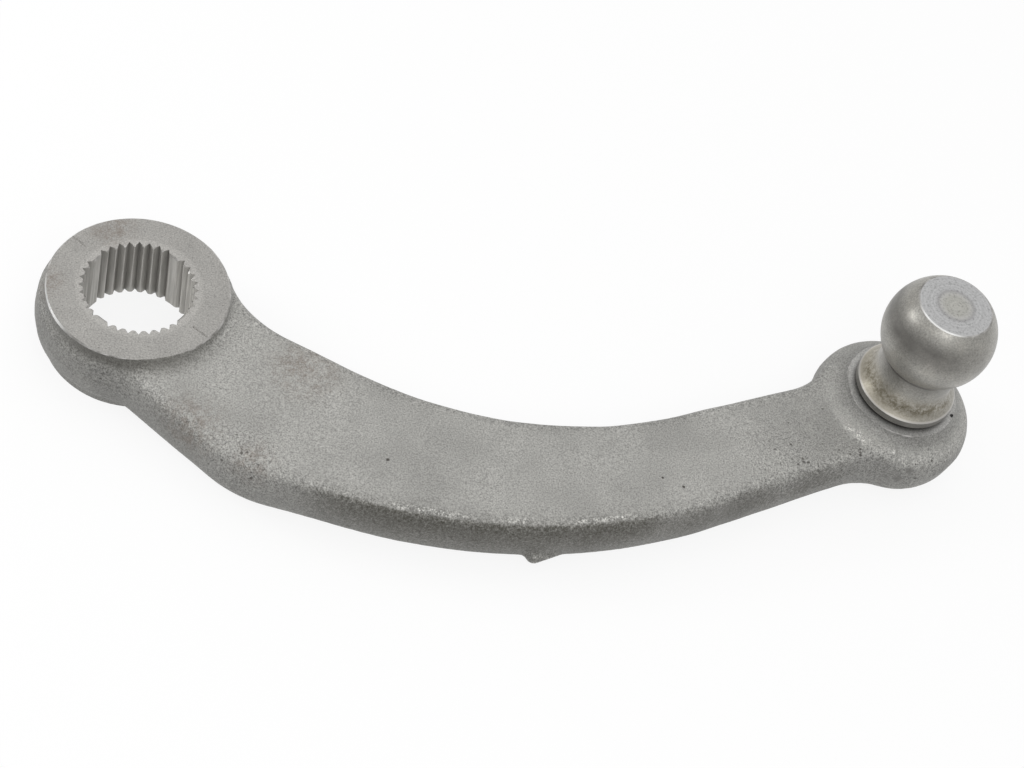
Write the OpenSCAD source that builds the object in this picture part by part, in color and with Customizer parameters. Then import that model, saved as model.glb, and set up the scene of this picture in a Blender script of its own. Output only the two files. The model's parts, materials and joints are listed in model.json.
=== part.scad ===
// Pitman arm: a drop-forged steering arm with a tapered serration hub at one end
// and a ball stud riveted into an eye at the other.
// Millimetres, +Z up. The origin lies on the serration axis in the forging's parting
// plane, and +X points from the hub to the ball stud.

/* [Arm] */
// Distance from the serration axis to the ball stud axis
arm_length = 205; // [195:0.5:225]
// Thickness of the arm between its upper and lower die faces
arm_thickness = 15; // [13.5:0.5:16]
// Draft angle of the forged sides
draft = 8; // [5:0.5:10]
// Radius along the arm's upper and lower edges
arm_edge_r = 3; // [1.5:0.25:4]
// Shoulder of the outer edge, along X from the serration axis
shoulder_x = 28.5; // [25:0.5:34]
// Shoulder of the outer edge, in front of the serration axis
shoulder_y = 50; // [46:0.5:54]
// Radius that rounds the shoulder
shoulder_r = 32; // [10:1:40]
// Crossing of the outer bend's two tangents, along X from the serration axis
outer_bend_x = 108; // [100:0.5:116]
// Crossing of the outer bend's two tangents, in front of the serration axis
outer_bend_y = 65.5; // [61:0.5:70]
// Radius of the outer bend
outer_bend_r = 150; // [100:1:155]
// Crossing of the inner bend's two tangents, along X from the serration axis
inner_bend_x = 99; // [92:0.5:106]
// Crossing of the inner bend's two tangents, in front of the serration axis
inner_bend_y = 32; // [29:0.5:36]
// Radius of the inner bend
inner_bend_r = 108; // [80:1:120]
// Distance of the outer edge's flank from the serration axis
hub_outer_offset = 21.5; // [18:0.5:23]
// Distance of the inner edge from the serration axis
hub_inner_offset = 11; // [9:0.5:14]
// Distance of the outer edge from the stud axis
eye_outer_offset = 15; // [11:0.5:18]
// Distance of the inner edge from the stud axis
eye_inner_offset = 12; // [10:0.5:16]
// Fillet between the flank and the hub
hub_outer_fillet = 12; // [6:1:18]
// Fillet between the inner edge and the hub
hub_inner_fillet = 28; // [12:1:34]
// Fillet between the outer edge and the eye
eye_outer_fillet = 20; // [8:1:28]
// Fillet between the inner edge and the eye
eye_inner_fillet = 20; // [8:1:26]

/* [Hub] */
// Diameter of the hub at the parting plane
hub_d = 52; // [51:0.5:54]
// Height of the hub over its two machined faces
hub_height = 20; // [18:0.5:24]
// Diameter of the raised ring that carries each machined face
hub_face_d = 47.2; // [46:0.2:48]
// Edge broken round the machined faces
hub_face_break = 0.3; // [0.2:0.1:0.5]
// Radius of the forged shoulder below the raised ring
hub_edge_r = 4; // [2.5:0.25:5]
// Width of the forged foot where the arm runs up to the hub
hub_foot_w = 4; // [3:0.5:8]
// Rise of that foot at the raised ring
hub_foot_h = 0.5; // [0.5:0.25:1.5]

/* [Serrations] */
// Diameter over the notches at the small end, which is the upper one
serration_d = 30; // [28:0.25:32]
// Divisions around the bore
serration_divisions = 36; // [28:4:40]
// Lands left without a notch, evenly spaced
blank_lands = 4; // [1:1:4]
// Direction of the first blank land, from +X
blank_angle = 56; // [0:1:90]
// Depth of a notch
notch_depth = 1.4; // [1:0.05:1.6]
// Width of a notch at the bore
notch_w = 1.75; // [1.4:0.05:1.9]
// Taper of the bore: length for each unit of growth in diameter
taper_length = 16; // [12:1:24]
// Size of the chamfer on the upper face, from the lands
upper_chamfer = 0.6; // [0.2:0.1:1]
// Size of the chamfer on the lower face, from the lands
lower_chamfer = 0.5; // [0.2:0.1:1]

/* [Eye] */
// Diameter of the eye at the parting plane
eye_d = 45.5; // [43:0.5:49]
// Height of the eye's upper spot face above the parting plane
eye_top = 10.5; // [9.5:0.25:12]
// Depth of the eye's lower face below the parting plane
eye_bottom = 10; // [9:0.25:11]
// Diameter of the spot faces
spot_face_d = 31.5; // [30:0.5:33]
// Height of the turned lip that each spot face stands on
spot_lip = 0.5; // [0.2:0.1:0.8]
// Radius of the eye's upper shoulder
eye_edge_r = 6; // [4:0.25:6.5]
// Radius of the eye's lower shoulder
eye_lower_edge_r = 2.5; // [2.5:0.25:6]
// Width of the forged foot where the arm runs up to the eye
eye_foot_w = 8; // [4:0.5:10]
// Rise of that foot at the eye's slope
eye_foot_h = 1.25; // [0.5:0.25:1.25]
// Bore of the eye
eye_bore_d = 22; // [20:0.5:24]
// Widening of the bore's lower countersink, on the radius
countersink = 2; // [1:0.25:3]

/* [Ball stud] */
// Diameter of the ball
ball_d = 30; // [28:0.5:32]
// Height of the ball's centre above the upper spot face
ball_height = 25.5; // [24:0.5:30]
// Height of the flat above the ball's centre
ball_flat = 11.3; // [10:0.1:13]
// Diameter of the neck
neck_d = 21.2; // [18:0.1:22]
// Diameter of the collar
collar_d = 27.4; // [26:0.2:29]
// Thickness of the collar's rim
collar_t = 2.3; // [1.5:0.1:3]
// Gap between the collar and the upper spot face
collar_gap = 1.4; // [1:0.1:3]
// Chamfer round the collar's upper rim
collar_chamfer = 0.4; // [0.2:0.1:0.6]
// Height of the flare from the collar up to the neck
flare_h = 6.2; // [5.6:0.2:8]
// Radial clearance of the shank in the eye
shank_clearance = 0.01; // [0:0.005:0.02]
// Depth of the riveted end inside the lower face
rivet_inset = 0.3; // [0.1:0.1:1]

/* [Forging lug] */
// Place of the lug on the outer edge, along X from the serration axis
lug_x = 105.5; // [90:0.5:118]
// Radius of the lug
lug_r = 2.6; // [2:0.1:3.5]
// Depth of the lug's centre below the parting plane
lug_drop = 5; // [3.5:0.25:5.5]
// Distance of the lug's centre inside the outer edge
lug_inset = 1; // [0.5:0.25:2]
// Length of the tail that runs out along the edge
lug_tail = 8; // [4:0.5:12]
// Radius of the tail's end
lug_tail_r = 1; // [0.5:0.25:1.5]

/* [Hidden] */
$fn = 96;
// Overshoot of a cutting solid past the face that it leaves
past = 1;
// Depth to which a fillet runs into the boss that it meets
bite = 0.2;
// Share of the room between two corners that a bend may take up
bend_room = 0.98;
// Least height of the raised ring above the hub's shoulder
least_ring = 1;
// Facets: steps along each stretch of the arm, round its edges and across its faces
fillet_steps = 9;
flank_steps = 5;
shoulder_steps = 5;
bend_steps = 26;
run_out_steps = 2;
inner_run_out_steps = run_out_steps + shoulder_steps + 1;
edge_steps = 4;
face_steps = 8;
profile_steps = 6;
flare_steps = 12;

half_t = arm_thickness / 2;
hub_face_z = hub_height / 2;
hub_c = [0, 0];
eye_c = [arm_length, 0];
hub_blend_r = hub_d / 2 - bite;
hub_face_r = hub_face_d / 2;
hub_shoulder_z = min(half_t + hub_foot_h, hub_face_z - least_ring);
eye_blend_r = eye_d / 2 - bite;
spot_r = spot_face_d / 2;
shoulder = [shoulder_x, -shoulder_y];
outer_bend = [outer_bend_x, -outer_bend_y];
inner_bend = [inner_bend_x, -inner_bend_y];
notch_pitch = 360 / serration_divisions;
land_period = serration_divisions / blank_lands;
notch_tip_r = serration_d / 2;
small_r = notch_tip_r - notch_depth;
taper_angle = atan(1 / (2 * taper_length));
large_r = small_r + hub_height * tan(taper_angle);
upper_r = small_r + upper_chamfer;
lower_r = large_r + lower_chamfer;
bore_r = eye_bore_d / 2;
ball_z = eye_top + ball_height;
collar_z = eye_top + collar_gap;
collar_top = collar_z + collar_t;
neck_r = neck_d / 2;
rim_r = collar_d / 2 - collar_chamfer;
shank_r = bore_r - shank_clearance;
rivet_z = -eye_bottom + rivet_inset;

function unit(v) = v / norm(v);
function polar(a) = [cos(a), sin(a)];
function heading(v) = atan2(v[1], v[0]);
function shortest(a) = a - 360 * round(a / 360);
function last(list) = list[len(list) - 1];
function reversed(list) = [for (i = [len(list) - 1 : -1 : 0]) list[i]];
function flat(lists) = [for (list = lists) for (item = list) item];
function mean(points) = [for (p = points) 1] * points / len(points);
function xy(e) = [e[0], e[1]];

// An edge of the arm is a list of [x, y, normal x, normal y], the normal pointing out.

// Normal of the straight edge that leaves point p and passes centre c at distance d
function edge_normal(p, c, d, side) = polar(heading(p - c) + side * acos(d / norm(p - c)));

// Points on an arc about m; bulge is 1 on a convex stretch and -1 on a concave one
function arc(m, from, to, steps, bulge) =
    let (r = norm(from - m),
         start = heading(from - m),
         sweep = shortest(heading(to - m) - start))
    [for (i = [0 : steps])
        let (d = polar(start + sweep * i / steps))
        concat(m + r * d, bulge * d)];

// Points strictly between two points of an edge
function between(a, b, steps) = [for (i = [1 : 1 : steps - 1]) a + (b - a) * i / steps];

// Arc from a boss of radius b about c to the straight edge that runs on to point p
function boss_fillet(c, b, p, d, side, r) =
    let (n = edge_normal(p, c, d, side),
         along = unit(p - c - d * n),
         m = c + (d + r) * n + sqrt(pow(b + r, 2) - pow(d + r, 2)) * along)
    arc(m, c + b * unit(m - c), m - r * n, fillet_steps, -1);

// Half the angle at corner p, the bend's radius that fits there, and the bend's centre
function half_angle(a, p, b) = acos(unit(a - p) * unit(b - p)) / 2;
function fitting_r(a, p, b, r) =
    min(r, bend_room * min(norm(a - p), norm(b - p)) * tan(half_angle(a, p, b)));
function bend_centre(a, p, b, r) =
    p + unit(unit(a - p) + unit(b - p)) * r / sin(half_angle(a, p, b));
function bend(a, p, b, r, steps, bulge) =
    let (reach = r / tan(half_angle(a, p, b)))
    arc(bend_centre(a, p, b, r), p + reach * unit(a - p), p + reach * unit(b - p), steps, bulge);

hub_outer = boss_fillet(hub_c, hub_blend_r, shoulder, hub_outer_offset, -1, hub_outer_fillet);
hub_inner = boss_fillet(hub_c, hub_blend_r, inner_bend, hub_inner_offset, 1, hub_inner_fillet);
eye_outer = boss_fillet(eye_c, eye_blend_r, outer_bend, eye_outer_offset, 1, eye_outer_fillet);
eye_inner = boss_fillet(eye_c, eye_blend_r, inner_bend, eye_inner_offset, -1, eye_inner_fillet);
flank_end = xy(last(hub_outer));
outer_end = xy(last(eye_outer));
inner_start = xy(last(hub_inner));
inner_end = xy(last(eye_inner));

shoulder_arc = bend(flank_end, shoulder, outer_bend,
    fitting_r(flank_end, shoulder, outer_bend, shoulder_r), shoulder_steps, 1);
outer_start = xy(last(shoulder_arc));
outer_r = fitting_r(outer_start, outer_bend, outer_end, outer_bend_r);
outer_c = bend_centre(outer_start, outer_bend, outer_end, outer_r);
outer_arc = bend(outer_start, outer_bend, outer_end, outer_r, bend_steps, 1);
inner_arc = bend(inner_start, inner_bend, inner_end,
    fitting_r(inner_start, inner_bend, inner_end, inner_bend_r), bend_steps, -1);

outer_edge = flat([
    hub_outer,
    between(last(hub_outer), shoulder_arc[0], flank_steps),
    shoulder_arc,
    outer_arc,
    between(last(outer_arc), last(eye_outer), run_out_steps),
    reversed(eye_outer)]);
inner_edge = flat([
    hub_inner,
    between(last(hub_inner), inner_arc[0], flank_steps),
    inner_arc,
    between(last(inner_arc), last(eye_inner), inner_run_out_steps),
    reversed(eye_inner)]);

// Drafted side with a rounded upper edge, from the parting plane up: [inset, height]
function forged_side(top, r, from_a, to_a, steps) =
    let (tangent_z = top - r * (1 - sin(draft)))
    [for (i = [0 : steps])
        let (a = from_a + (to_a - from_a) * i / steps)
        [tangent_z * tan(draft) + r * (cos(draft) - cos(a)), top - r * (1 - sin(a))]];
function profile(r, side) = concat([[r, 0]], [for (p = side) [r - p[0], p[1]]]);

arm_side = concat([[0, 0]], forged_side(half_t, arm_edge_r, draft, 90, edge_steps));

// The hub's shoulder runs up to the angle at which the raised ring's wall stands on it
ring_inset = hub_d / 2 - hub_face_r;
shoulder_inset = ring_inset - (hub_shoulder_z - hub_edge_r * (1 - sin(draft))) * tan(draft);
ring_angle = acos(min(cos(draft), max(0, cos(draft) - shoulder_inset / hub_edge_r)));
hub_side = concat(
    forged_side(hub_shoulder_z, hub_edge_r, draft, ring_angle, profile_steps),
    [[ring_inset, hub_face_z - hub_face_break], [ring_inset + hub_face_break, hub_face_z]]);

// Angle on the eye's shoulder of radius r at which the slope to the spot face's lip leaves it
function slope_angle(face_z, r) =
    let (centre_r = eye_d / 2 - (half_t - r * (1 - sin(draft))) * tan(draft) - r * cos(draft),
         v = [spot_r - centre_r, face_z - spot_lip - half_t + r])
    heading(v) - acos(r / norm(v));
function eye_side(face_z, r) = concat(
    profile(eye_d / 2, forged_side(half_t, r, draft, slope_angle(face_z, r), profile_steps)),
    [[spot_r, face_z - spot_lip], [spot_r, face_z]]);

// Rise of the arm's faces at the foot of each boss
eye_foot_r = spot_r + (eye_top - spot_lip - half_t - eye_foot_h) * tan(slope_angle(eye_top, eye_edge_r));
function foot(gap, w, h) = gap > w ? 0 : h * pow(1 - max(gap, 0) / w, 2);
function rise(p) = foot(norm(p - hub_c) - hub_face_r, hub_foot_w, hub_shoulder_z - half_t)
    + foot(norm(p - eye_c) - eye_foot_r, eye_foot_w, eye_foot_h);
function lifted(p, z) = [p[0], p[1], z + sign(z) * rise(p) * pow(z / half_t, 2)];

// Points of one cross-section, from the outer edge e over the top to the inner edge f
function inset_point(e, inset) = xy(e) - inset * [e[2], e[3]];
function side_points(e, half) = [for (p = arm_side) lifted(inset_point(e, p[0]), half * p[1])];
function face_points(e, f, half) =
    let (a = inset_point(e, last(arm_side)[0]), b = inset_point(f, last(arm_side)[0]))
    [for (i = [1 : face_steps - 1]) lifted(a + (b - a) * i / face_steps, half * half_t)];
function tail(list) = [for (i = [1 : len(list) - 1]) list[i]];
function section(e, f) = concat(
    side_points(e, 1),
    face_points(e, f, 1),
    reversed(side_points(f, 1)),
    tail(side_points(f, -1)),
    face_points(f, e, -1),
    reversed(tail(side_points(e, -1))));

// The bent arm between its two bosses, closed off inside them
module web() {
    rings = [for (i = [0 : len(outer_edge) - 1]) section(outer_edge[i], inner_edge[i])];
    n = len(rings[0]);
    last_ring = (len(rings) - 1) * n;
    hub_end = len(rings) * n;
    eye_end = hub_end + 1;
    sides = [for (i = [0 : n : last_ring - n], j = [0 : n - 1], half = [0, 1])
        let (k = (j + 1) % n)
        half == 0 ? [i + j, i + k, i + n + k] : [i + j, i + n + k, i + n + j]];
    caps = [for (j = [0 : n - 1], end = [0, 1])
        let (k = (j + 1) % n)
        end == 0 ? [hub_end, k, j] : [eye_end, last_ring + j, last_ring + k]];
    polyhedron(concat(flat(rings), [mean(rings[0]), mean(last(rings))]), concat(sides, caps));
}

// A boss turned from its upper and lower side profiles
function flipped(side) = [for (p = reversed(side)) [p[0], -p[1]]];
module boss(upper, lower) {
    rotate_extrude()
        polygon(concat(
            [[0, -last(lower)[1]]], flipped(lower), tail(upper), [[0, last(upper)[1]]]));
}

module hub_blank() boss(profile(hub_d / 2, hub_side), profile(hub_d / 2, hub_side));

module eye_blank() translate(eye_c)
    boss(eye_side(eye_top, eye_edge_r), eye_side(eye_bottom, eye_lower_edge_r));

// Remnant of the forging flash on the lower half of the outer edge
module lug() {
    dx = lug_x - outer_c[0];
    start_a = heading([dx, -sqrt(pow(outer_r, 2) - pow(dx, 2))]);
    end_a = start_a + lug_tail / outer_r * 180 / PI;
    start = outer_c + (outer_r - lug_inset) * polar(start_a);
    end = outer_c + (outer_r - lug_tail_r - lug_drop * tan(draft)) * polar(end_a);
    translate([start[0], start[1], -lug_drop]) {
        sphere(r = lug_r);
        rotate([0, 90, heading(end - start)])
            cylinder(h = norm(end - start), r1 = lug_r, r2 = lug_tail_r);
    }
}

// A V-shaped notch that follows the bore's taper
module notch() {
    reach = hub_height + past;
    inner_w = notch_w * (1 + past / notch_depth);
    translate([small_r, 0, hub_face_z])
        rotate([0, -taper_angle, 0])
            translate([0, 0, -reach])
                linear_extrude(reach + past)
                    polygon([[notch_depth, 0], [-past, inner_w / 2], [-past, -inner_w / 2]]);
}

// The tapered bore with its notches, blank lands and chamfers
module serrated_bore() {
    lead = past * tan(taper_angle);
    translate([0, 0, -hub_face_z - past])
        cylinder(h = hub_height + 2 * past, r1 = large_r + lead, r2 = small_r - lead);
    for (i = [0 : serration_divisions - 1])
        if (i % land_period != 0) rotate(blank_angle + i * notch_pitch) notch();
    translate([0, 0, hub_face_z - upper_r])
        cylinder(h = upper_r + past, r1 = 0, r2 = upper_r + past);
    translate([0, 0, -hub_face_z - past])
        cylinder(h = lower_r + past, r1 = lower_r + past, r2 = 0);
}

// The eye's bore, countersunk below for the riveted end
module eye_bore() {
    translate([eye_c[0], eye_c[1], -eye_bottom - past]) {
        cylinder(h = eye_bottom + eye_top + 2 * past, r = bore_r);
        cylinder(h = countersink + past, r1 = bore_r + countersink + past, r2 = bore_r);
    }
}

module arm_forging() {
    color([0.58, 0.58, 0.56])
        difference() {
            union() {
                web();
                hub_blank();
                eye_blank();
                lug();
            }
            serrated_bore();
            eye_bore();
        }
}

// Turned stud below its ball: neck, flared collar, shank and riveted end
module stud_body() {
    flare_a = 2 * atan((rim_r - neck_r) / flare_h);
    flare_r = flare_h / sin(flare_a);
    rotate_extrude()
        polygon(concat(
            [[0, ball_z], [neck_r, ball_z]],
            [for (i = [0 : flare_steps])
                let (a = flare_a * i / flare_steps)
                [neck_r + flare_r * (1 - cos(a)), collar_top + flare_h - flare_r * sin(a)]],
            [[collar_d / 2, collar_top - collar_chamfer],
             [collar_d / 2, collar_z],
             [shank_r, collar_z],
             [shank_r, -eye_bottom + countersink],
             [shank_r + countersink - rivet_inset, rivet_z],
             [0, rivet_z]]));
}

module ball_stud() {
    color([0.63, 0.62, 0.59])
        translate(eye_c) {
            stud_body();
            translate([0, 0, ball_z])
                difference() {
                    sphere(d = ball_d);
                    translate([0, 0, ball_flat]) cylinder(h = ball_d, r = ball_d);
                }
        }
}

arm_forging();
ball_stud();
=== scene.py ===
"""Dressed model of a pitman arm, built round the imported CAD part.

The forging is made as the real one is: a blank is forged from the CAD shape with stock left on its bosses,
its skin is given the die's and the shot's marks, and its faces and bores are then machined.
The ball stud is turned from its own fine profile. Metres, +Z up, in the CAD frame.
"""

import json
import math

import bmesh
import bpy
import numpy as np
from mathutils import Matrix, Vector, noise


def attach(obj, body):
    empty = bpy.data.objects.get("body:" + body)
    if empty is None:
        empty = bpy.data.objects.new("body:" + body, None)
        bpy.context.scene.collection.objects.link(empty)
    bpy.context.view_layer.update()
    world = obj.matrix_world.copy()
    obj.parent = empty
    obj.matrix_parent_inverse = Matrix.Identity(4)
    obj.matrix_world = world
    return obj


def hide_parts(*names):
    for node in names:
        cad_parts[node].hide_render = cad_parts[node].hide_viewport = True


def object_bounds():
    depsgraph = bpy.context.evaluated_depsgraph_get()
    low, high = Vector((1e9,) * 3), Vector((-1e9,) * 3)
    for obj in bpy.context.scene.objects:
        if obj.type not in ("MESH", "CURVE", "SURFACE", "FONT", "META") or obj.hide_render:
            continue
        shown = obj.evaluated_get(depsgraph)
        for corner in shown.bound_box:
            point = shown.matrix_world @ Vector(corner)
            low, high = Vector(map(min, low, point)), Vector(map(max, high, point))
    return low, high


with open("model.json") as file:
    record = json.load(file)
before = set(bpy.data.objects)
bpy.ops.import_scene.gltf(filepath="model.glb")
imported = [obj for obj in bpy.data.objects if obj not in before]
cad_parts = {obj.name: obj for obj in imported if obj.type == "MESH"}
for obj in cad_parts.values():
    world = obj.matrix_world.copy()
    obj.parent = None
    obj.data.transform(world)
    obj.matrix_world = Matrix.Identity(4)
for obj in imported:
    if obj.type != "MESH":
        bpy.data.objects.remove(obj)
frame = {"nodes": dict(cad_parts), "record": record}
cad_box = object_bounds()

MM = 0.001

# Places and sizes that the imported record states
MOUNTS = {mount["name"]: mount for mount in frame["record"]["mounts"]}
HUB_FACE_Z = MOUNTS["nut_seat"]["pos_m"][2]
LAND_R = MOUNTS["sector_shaft_taper"]["dims"]["r_mm"] * MM
BALL_CENTRE = Vector(MOUNTS["drag_link_ball"]["pos_m"])
BALL_R = MOUNTS["drag_link_ball"]["dims"]["r_mm"] * MM
HUB_CENTRE = Vector((0, 0, 0))
EYE_CENTRE = Vector((BALL_CENTRE.x, BALL_CENTRE.y, 0))
FLOOR_Z = cad_box[0][2]

# The forging, in metres as in part.scad
HUB_FACE_R = 23.6 * MM
EYE_TOP = 10.5 * MM
EYE_BOTTOM = 10 * MM
SPOT_R = 15.75 * MM
SPOT_LIP = 0.5 * MM
BORE_R = 11 * MM
COUNTERSINK = 2 * MM
DIVISIONS = 36
BLANK_LANDS = 4
BLANK_ANGLE = math.radians(56)
NOTCH_DEPTH = 1.4 * MM
TAPER = 1 / 32

# The stud, in metres as in part.scad
BALL_FLAT = 11.3 * MM
NECK_R = 10.6 * MM
COLLAR_R = 13.7 * MM
COLLAR_T = 2.3 * MM
COLLAR_GAP = 1.4 * MM
COLLAR_CHAMFER = 0.4 * MM
FLARE_H = 6.2 * MM
SHANK_CLEARANCE = 0.01 * MM
RIVET_INSET = 0.3 * MM
COLLAR_Z = EYE_TOP + COLLAR_GAP
COLLAR_TOP = COLLAR_Z + COLLAR_T

# Not as in part.scad: broken edges as the photograph shows them, and wider notches that leave pointed teeth
HUB_EDGE_BREAK = 0.75 * MM
SPOT_EDGE_BREAK = 0.4 * MM
BORE_CHAMFER = 0.4 * MM
FLAT_BREAK = 0.2 * MM
NOTCH_W = 2.1 * MM

# How the forged skin is made: stock on the bosses, mesh size, and (wave length, depth) of each kind of mark
STOCK = 1.2 * MM
SKIN_CELL = 0.65 * MM
BLEND_PASSES = 3
DIE_WAVES = (28 * MM, 0.3 * MM)
RIM_WAVES = (10 * MM, 0.3 * MM)
SCALE_DENTS = (4.5 * MM, 0.05 * MM)
SHOT_DENTS = (1.8 * MM, 0.045 * MM)
SKIN_MARKS = (DIE_WAVES, RIM_WAVES, SCALE_DENTS, SHOT_DENTS)

# The cutting tools: how far each goes past the metal, the reach of a facer and the width of the lip's foot
PAST = 1 * MM
FACER_REACH = 3 * STOCK
LIP_FOOT_W = 2 * MM

# Steps round a turned piece and along its arcs, what counts as one point, and the angle of a sharp edge
TURN_STEPS = 256
FLARE_STEPS = 20
BALL_STEPS = 72
SAME_POINT = 0.001 * MM
SLIVER = 0.0002 * MM
ARM_SHARP = math.radians(38)
STUD_SHARP = math.radians(20)

# The upper die wore round at the flank and along the bend, (place, reach, passes), and stayed sharp at the
# lug. Low and full are the heights between which that wear sets in.
WORN_PLACES = (
    (Vector((20, -42, 6)) * MM, 36 * MM, 160),
    (Vector((95, -57, 6)) * MM, 60 * MM, 45),
    (Vector((150, -46, 6)) * MM, 40 * MM, 30),
)
WORN_LOW = -5 * MM
WORN_FULL = 1 * MM
LUG_PLACE = Vector((107, -57.5, -5)) * MM
LUG_REACH = 12 * MM

# Bulge of the skin at which a ridge starts to be burnished and is fully so, and how far such marks spread
RIDGE_FROM = 0.02
RIDGE_FULL = 0.07
RIDGE_PASSES = 4
EDGE_PASSES = 150

# Scribed index marks on the hub's upper face: direction in degrees, inner and outer end
SCRIBES = ((143, 18.3 * MM, 23 * MM), (-35, 17.8 * MM, 22.4 * MM))
SCRIBE_W = 0.6 * MM
SCRIBE_DEPTH = 0.32 * MM

# Places on the part and the reach of each mark, in millimetres
RUST_SPOTS = (
    ((16, -38, 7), 13),
    ((-9, 18, 10), 9),
    ((44, -17, 7), 14),
    ((-23, -2, 10), 7),
    ((33, -46, 6), 8),
)
PITS = (
    ((65.7, -41.3, 7.4), 0.65),
    ((182.6, -7.6, 7.6), 0.65),
    ((136.5, -36.5, 7.4), 0.5),
    ((142, -38.5, 7.4), 0.6),
)
SMUDGES = (((207, -22, 3.5), 1.8), ((205, -22.7, 0), 2), ((211, -21, 4.5), 1.4), ((200, -22, 5), 1.2))
# Painted highlights on the hub's left rim and on the ball flat's left edge
PAINTED_HIGHLIGHT_EDGES = (((-22, -10, 9.8), 11), ((199.5, -7.5, 47), 9))
SPOT_NICK = (((218.5, -6.7, 10.5), 0.8),)
# Where painted shade lies as a dark brown coat on the outer side of the bend
PAINTED_SHADE_PLACES = (
    ((70, -52, 3), 32),
    ((100, -58, 3), 32),
    ((124, -55, 3), 24),
    ((147, -51, -6), 20),
    ((163, -42, -6), 20),
    ((182, -33, -6), 20),
)
PITTED_AREAS = (
    ((192, -27, 2), 18),
    ((212, -23, 1), 13),
    ((172, -26, 4), 20),
    ((-3, -27, 6), 11),
    ((30, -44, 5), 14),
)
# Ridges with a painted glint on their rounding, and painted sparkles on the eye's foot
PAINTED_GLINT_RIDGES = (((76, -57, 5), 14), ((120, -52, 5), 13), ((98, -57, 5), 7))
PAINTED_SPARKLES = (((189.3, -13.3, 8.4), 2), ((191.3, -15.2, 8.4), 2), ((193.2, -17, 8.2), 1.6))

# Sizes of the patterns in the steel. The shot's real dents are 0.2 mm and the lathe's real feed is about
# half the height of its marks here: both are drawn twice as coarse so that they show.
SHOT_GRAIN = 0.4 * MM
FORGED_SCALE = 0.8 * MM
FORGED_CLOUDS = 18 * MM
PIT_CELL = 1.5 * MM
RUST_FLECKS = 2 * MM
FACED_SPECKS = 0.7 * MM
FACED_CLOUDS = 8 * MM
BROACH_STREAKS = Vector((0.5, 0.5, 14)) * MM
EDGE_WEAR = 2.5 * MM
STUD_CLOUDS = 6 * MM
STUD_GRAIN = 0.45 * MM
LATHE_MARKS = Vector((7, 7, 0.35)) * MM
TINT_FLECKS = 1.4 * MM
FLAT_GRAIN = 0.6 * MM
FLAT_RINGS = 0.9 * MM


def linear(code):
    """Linear colour of an sRGB hex value."""
    parts = [int(code[i : i + 2], 16) / 255 for i in (1, 3, 5)]
    return [c / 12.92 if c <= 0.04045 else ((c + 0.055) / 1.055) ** 2.4 for c in parts] + [1]


def piece_from(name, vertices, faces):
    """New piece in the scene with these points and faces."""
    mesh = bpy.data.meshes.new(name)
    mesh.from_pydata(vertices, [], faces)
    mesh.update()
    piece = bpy.data.objects.new(name, mesh)
    bpy.context.collection.objects.link(piece)
    return piece


def tube_faces(rings, count):
    """Quads between rings of count points each, with a cap on the first and the last ring."""
    walls = [
        (i * count + j, i * count + (j + 1) % count, (i + 1) * count + (j + 1) % count, (i + 1) * count + j)
        for i in range(rings - 1)
        for j in range(count)
    ]
    first = tuple(reversed(range(count)))
    last = tuple(range((rings - 1) * count, rings * count))
    return walls + [first, last]


def turned(name, profile, centre, material=None):
    """Solid turned about a vertical axis, from (radius, height) points from its foot to its top."""
    angles = [2 * math.pi * i / TURN_STEPS for i in range(TURN_STEPS)]
    vertices = [centre + Vector((r * math.cos(a), r * math.sin(a), z)) for r, z in profile for a in angles]
    piece = piece_from(name, vertices, tube_faces(len(profile), TURN_STEPS))
    piece.data.materials.append(material)
    return piece


def turned_ring(name, section, centre, material):
    """Ring turned about a vertical axis, from the (radius, height) corners of its section."""
    ring = turned(name, section + section[:1], centre, material)
    shape = bmesh.new()
    shape.from_mesh(ring.data)
    caps = [face for face in shape.faces if len(face.verts) > 4]
    bmesh.ops.delete(shape, geom=caps, context="FACES_ONLY")
    bmesh.ops.remove_doubles(shape, verts=shape.verts, dist=SAME_POINT)
    bmesh.ops.recalc_face_normals(shape, faces=shape.faces)
    shape.to_mesh(ring.data)
    shape.free()
    return ring


def work(piece, kind, **settings):
    """Runs one modifier on a piece and keeps the result as its mesh."""
    step = piece.modifiers.new(kind, kind)
    for key, value in settings.items():
        setattr(step, key, value)
    graph = bpy.context.evaluated_depsgraph_get()
    piece.data = bpy.data.meshes.new_from_object(piece.evaluated_get(graph))
    piece.modifiers.clear()


def cut(piece, tool):
    """Takes the tool's solid off the piece; the cut faces take the tool's material."""
    work(piece, "BOOLEAN", object=tool, operation="DIFFERENCE", solver="MANIFOLD", material_mode="TRANSFER")
    bpy.data.objects.remove(tool)


def add(tree, kind, inputs=None, out=0, stops=(), **settings):
    """Adds one shader node and gives back its output.

    Inputs are values or the outputs that feed them, stops are a ramp's (position, colour) pairs, and the
    other settings are the node's properties.
    """
    node = tree.nodes.new(kind)
    for key, value in settings.items():
        setattr(node, key, value)
    for key, value in (inputs or {}).items():
        if isinstance(value, bpy.types.NodeSocket):
            tree.links.new(value, node.inputs[key])
        else:
            node.inputs[key].default_value = value
    for position, code in stops:
        node.color_ramp.elements.new(position).color = linear(code)
    if stops:
        node.color_ramp.elements.remove(node.color_ramp.elements[0])
        node.color_ramp.elements.remove(node.color_ramp.elements[-1])
    return node.outputs[out] if node.outputs else None


# Sockets of a colour Mix node
SHARE = 0
COLOUR_A = 6
COLOUR_B = 7
MIXED = 2


def new_material(name):
    """Material with an empty node tree."""
    material = bpy.data.materials.new(name)
    material.use_nodes = True
    material.node_tree.nodes.clear()
    return material


def ranged(value, low, high, at_low, at_high):
    """Inputs that map a value from low..high to at_low..at_high."""
    return {"Value": value, "From Min": low, "From Max": high, "To Min": at_low, "To Max": at_high}


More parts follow.
